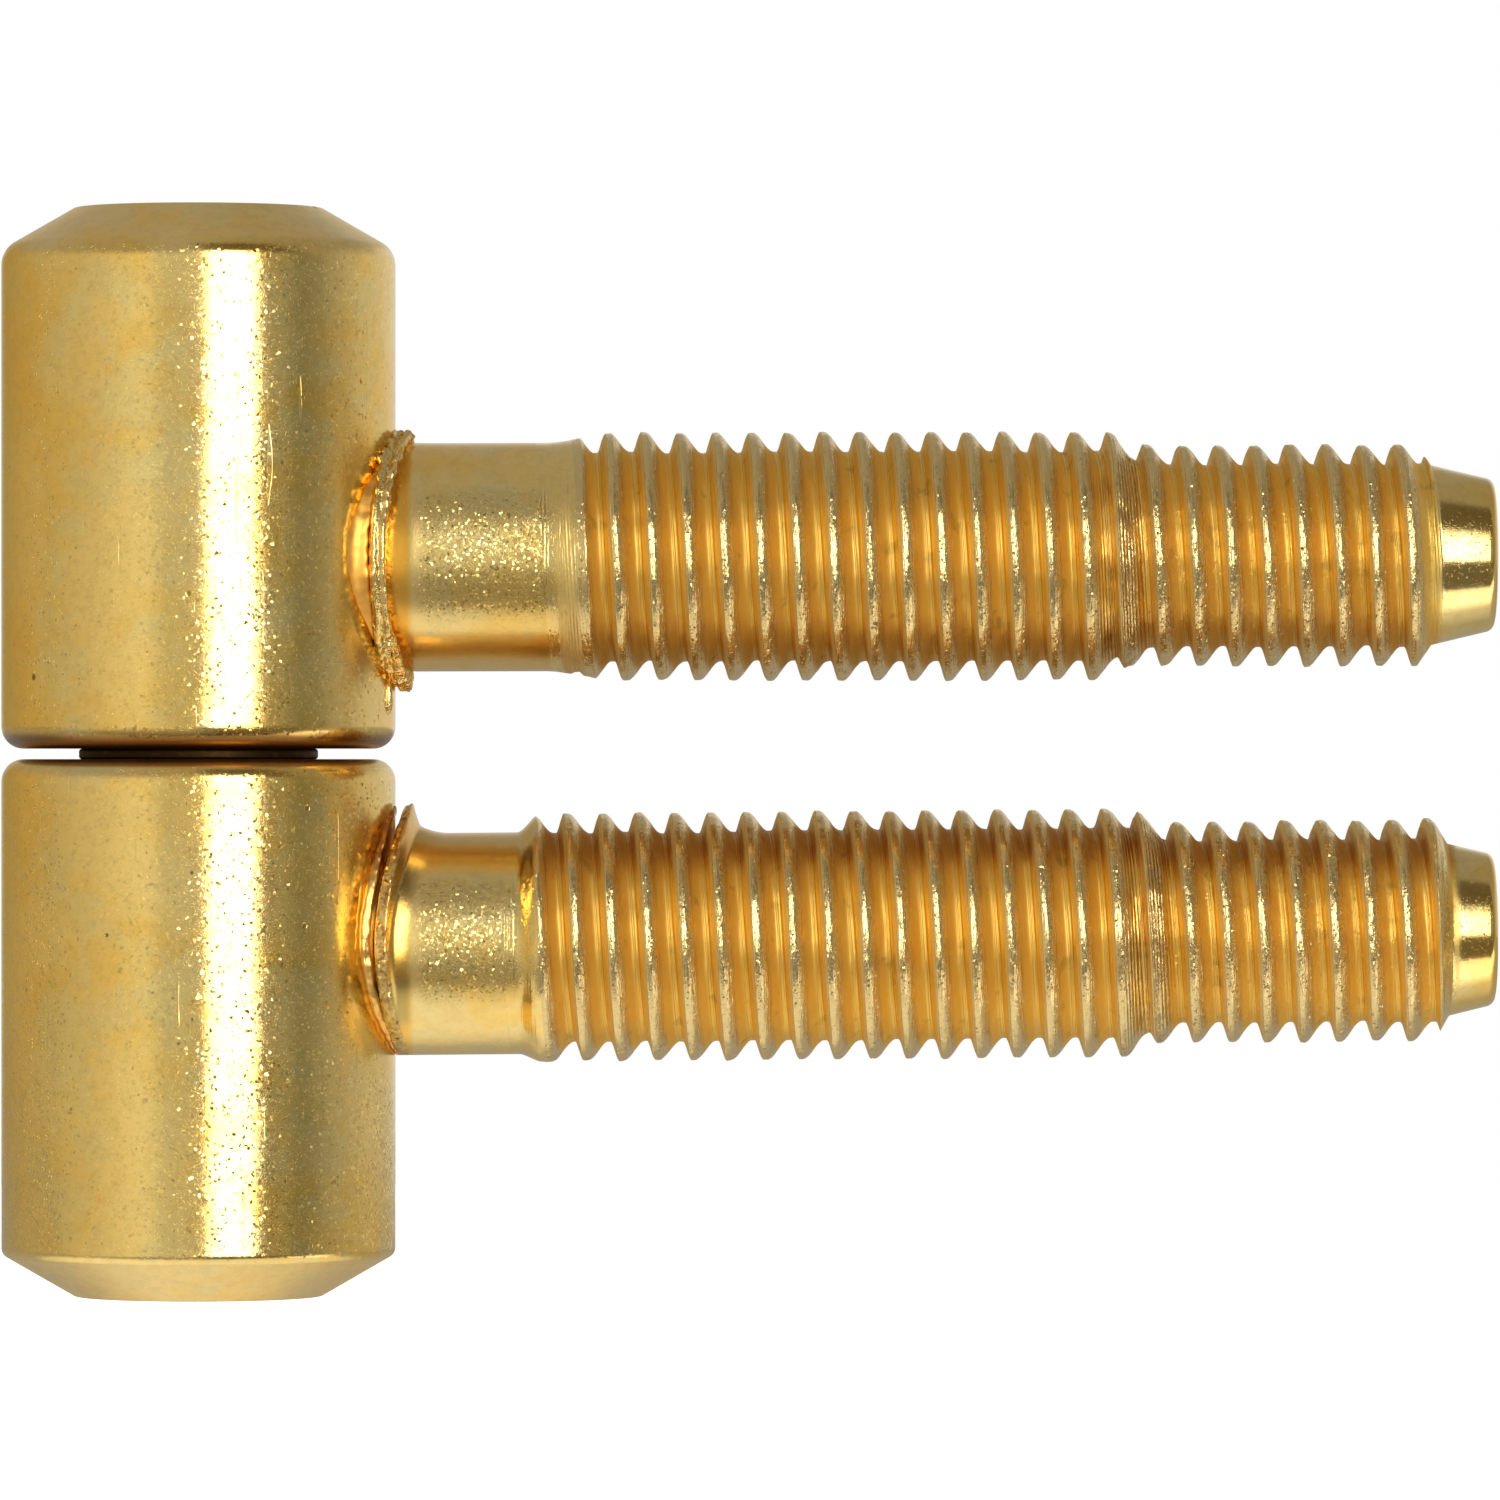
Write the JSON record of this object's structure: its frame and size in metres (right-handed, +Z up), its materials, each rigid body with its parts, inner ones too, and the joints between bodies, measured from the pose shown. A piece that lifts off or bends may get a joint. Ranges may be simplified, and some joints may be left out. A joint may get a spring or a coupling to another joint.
{
  "type": "drill in hinge",
  "caption": "Two-part lift-off door hinge: round barrels on a pin, each with a welded threaded stud that screws into a drilled hole.",
  "frame": {"origin": "centre of the lower barrel's flat bottom end, on the hinge axis", "axes": "+Z up the hinge axis, the way the door lifts off; +X out along the two studs; +Y into the picture"},
  "size_m": [0.0569, 0.015, 0.0415],
  "materials": {
    "plated_barrel": "thin brass plating on turned steel, satin with a soft grain",
    "plated_stud": "thin brass plating on rolled steel, bright",
    "bare_pin": "ground steel, lightly oiled",
    "dark_ring": "dark browned steel"
  },
  "bodies": {
    "frame_half": {"lower_knuckle": "plated_barrel", "lower_stud": "plated_stud", "hinge_pin": "bare_pin"},
    "bearing_ring": {"bearing_ring": "dark_ring"},
    "door_half": {"upper_knuckle": "plated_barrel", "upper_stud": "plated_stud"}
  },
  "joints": [
    {"name": "swing", "type": "hinge", "parent": "frame_half", "child": "bearing_ring", "pos_m": [0, 0, 0.02085], "axis": [0, 0, 1], "continuous": true},
    {"name": "lift_off", "type": "slide", "parent": "bearing_ring", "child": "door_half", "axis": [0, 0, 1], "range_m": [0, 0.017]}
  ]
}
